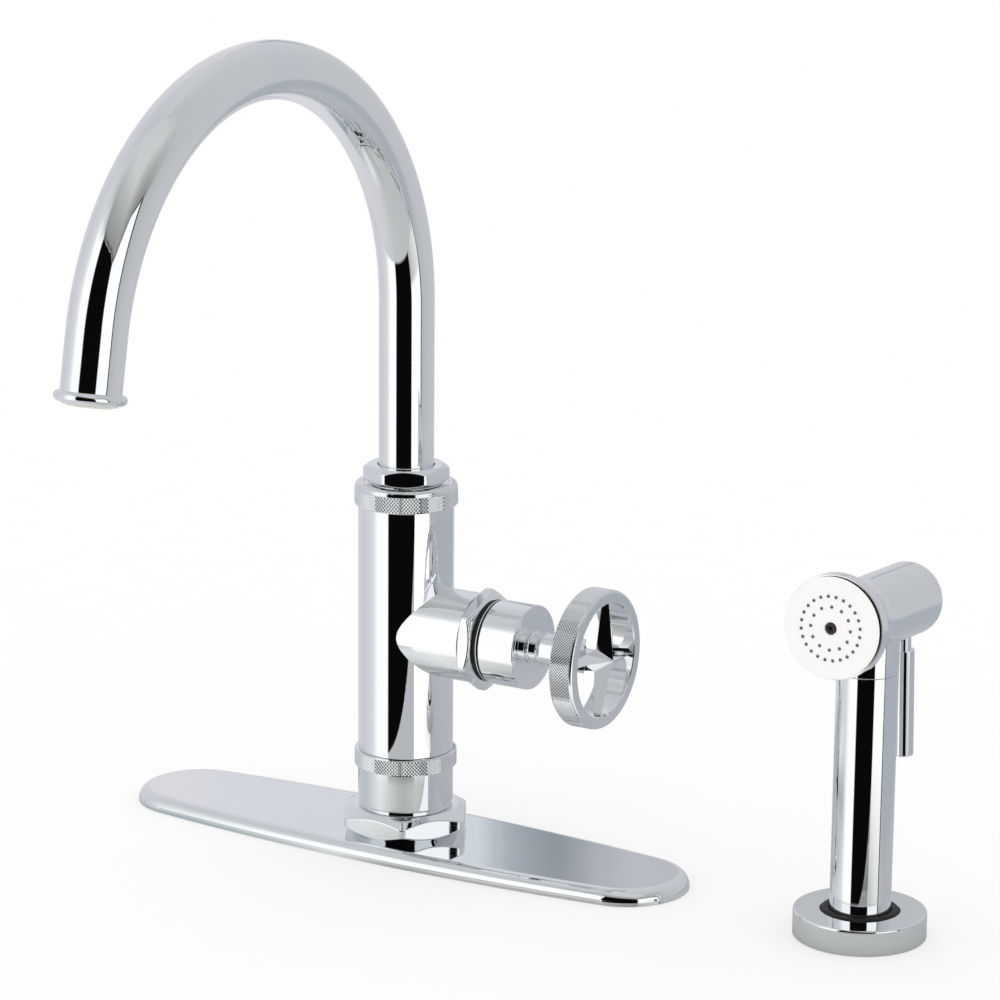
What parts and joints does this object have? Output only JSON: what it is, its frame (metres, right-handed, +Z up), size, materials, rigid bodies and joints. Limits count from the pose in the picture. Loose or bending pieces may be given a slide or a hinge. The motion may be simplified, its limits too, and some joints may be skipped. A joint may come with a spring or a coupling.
{
  "type": "kitchen faucet",
  "caption": "Deck-mounted kitchen faucet: swivelling gooseneck spout, knurled body rings, side handwheel valve, oval deck plate and a separate side sprayer with squeeze lever.",
  "frame": {"origin": "centre of the faucet body's mounting shank, on the deck plane", "axes": "+X to the right along the deck plate, towards the handwheel and the sprayer; -Y to the front, where the spout points at rest; +Z up"},
  "size_m": [0.3555, 0.2546, 0.3331],
  "materials": {
    "chrome": "polished chrome plate on brass",
    "knurled_chrome": "chrome plate over a diamond knurl",
    "brass": "machined brass, unplated",
    "steel": "stainless steel as drawn or turned",
    "rubber": "moulded black rubber",
    "nylon": "moulded natural acetal",
    "ceramic": "lapped alumina ceramic",
    "face_white": "moulded white ABS",
    "nozzle_grey": "moulded grey silicone",
    "nozzle_brown": "moulded dark brown plastic"
  },
  "bodies": {
    "faucet": {"deck_plate": "chrome", "deck_gasket": "rubber", "base_nut": "chrome", "lower_sleeve": "chrome", "lower_knurl_ring": "knurled_chrome", "body_shell": "chrome", "upper_knurl_ring": "knurled_chrome", "spout_nut": "chrome", "body_core": "brass", "cartridge_seals": "rubber", "cartridge_body": "nylon", "fixed_disc": "ceramic", "bonnet_nut": "chrome", "seal_ring": "rubber", "trim_ring": "chrome", "glide_washer": "rubber", "diverter_housing": "nylon", "diverter_spring": "steel", "spout_glide_ring": "nylon", "holder_base": "chrome", "holder_gasket": "rubber", "holder_bush": "rubber"},
    "spout": {"spout_shank": "brass", "spout_orings": "rubber", "spout_tube": "chrome", "tip_ring": "chrome", "aerator_washer": "rubber", "aerator_insert": "nylon", "aerator_screen": "steel"},
    "handle": {"moving_disc": "ceramic", "cartridge_stem": "steel", "handle_hub": "chrome", "hub_screw": "steel", "handle_stem": "chrome", "handwheel": "chrome"},
    "diverter": {"diverter_poppet": "nylon"},
    "connector": {"hose_connector": "brass", "connector_washer": "rubber"},
    "sprayer": {"sprayer_tube": "chrome", "sprayer_waterway": "nylon", "sprayer_head": "chrome", "head_core": "nylon", "face_seal": "rubber", "spray_face": "face_white", "spray_nozzles": "nozzle_grey", "centre_nozzle": "nozzle_brown", "lever_pin": "steel", "valve_cap": "brass", "plunger_spring": "steel"},
    "lever": {"lever": "chrome"},
    "plunger": {"valve_plunger": "brass", "plunger_seal": "rubber"}
  },
  "joints": [
    {"name": "spout_swivel", "type": "hinge", "parent": "faucet", "child": "spout", "pos_m": [0, 0, 0.13], "axis": [0, 0, 1], "continuous": true},
    {"name": "handle_turn", "type": "hinge", "parent": "faucet", "child": "handle", "pos_m": [0.05, 0, 0.09], "axis": [1, 0, 0], "range_deg": [0, 100]},
    {"name": "diverter_slide", "type": "slide", "parent": "faucet", "child": "diverter", "axis": [0, 0, 1], "range_m": [0, 0.003], "stiffness_N_per_m": 60, "springref_m": -0.002, "deforming": ["diverter_spring"]},
    {"name": "sprayer_lift", "type": "slide", "parent": "faucet", "child": "connector", "axis": [0, 0, 1], "range_m": [0, 0.04]},
    {"name": "sprayer_turn", "type": "hinge", "parent": "connector", "child": "sprayer", "pos_m": [0.2032, 0, 0.02], "axis": [0, 0, 1], "continuous": true},
    {"name": "lever_squeeze", "type": "hinge", "parent": "sprayer", "child": "lever", "pos_m": [0.2032, 0.0296, 0.13046], "axis": [-1, 0, 0], "range_deg": [0, 12], "stiffness_Nm_per_rad": 1, "springref_deg": -8.59},
    {"name": "plunger_slide", "type": "slide", "parent": "sprayer", "child": "plunger", "axis": [0, -0.9986, 0.0523], "range_m": [0, 0.0014], "deforming": ["plunger_spring"]}
  ],
  "couplings": [
    {"joint": "plunger_slide", "follows": "lever_squeeze", "m_per_rad": 0.0065}
  ]
}
